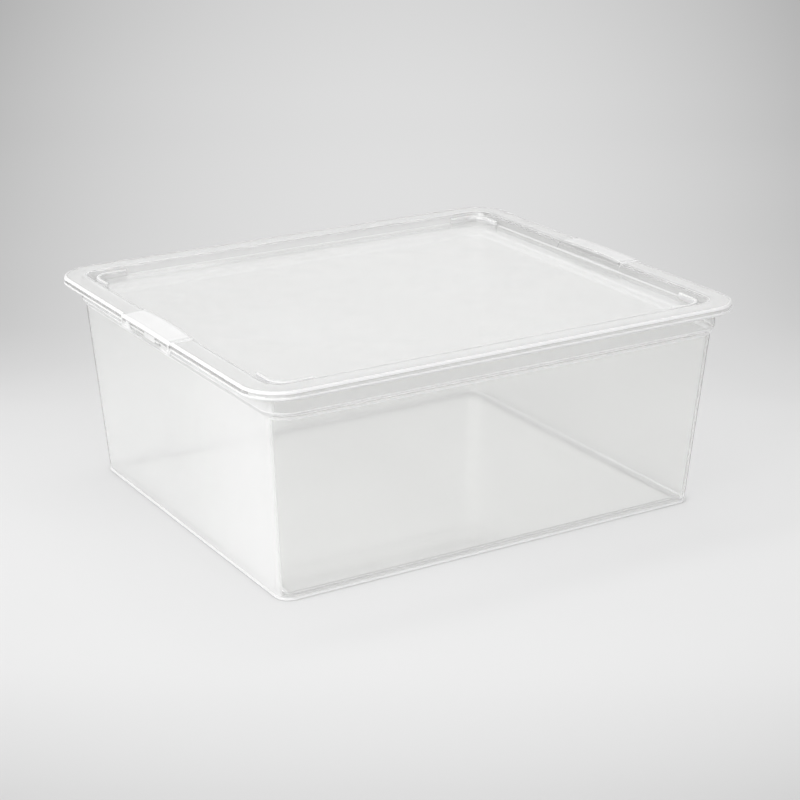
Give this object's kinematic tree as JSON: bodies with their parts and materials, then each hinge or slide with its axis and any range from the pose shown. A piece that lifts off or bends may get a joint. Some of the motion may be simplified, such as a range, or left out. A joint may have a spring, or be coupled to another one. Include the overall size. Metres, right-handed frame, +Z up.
{
  "type": "storage box",
  "caption": "Clear rectangular storage box with tapered walls, a stepped shoulder and a lift-off lid whose recessed panel takes the foot of another box.",
  "frame": {"origin": "middle of the tub's base, on the surface that it stands on", "axes": "+X along the long sides, +Y from the front long side to the back one, +Z up"},
  "size_m": [0.3932, 0.337, 0.1574],
  "materials": {
    "tub_plastic": "clear, polished",
    "lid_plastic": "clear, polished, with a faintly hazy panel"
  },
  "bodies": {
    "tub": {"box_tub": "tub_plastic"},
    "lid": {"snap_lid": "lid_plastic"}
  },
  "joints": [
    {"name": "lid_lift", "type": "slide", "parent": "tub", "child": "lid", "axis": [0, 0, 1], "range_m": [0, 0.17]}
  ]
}
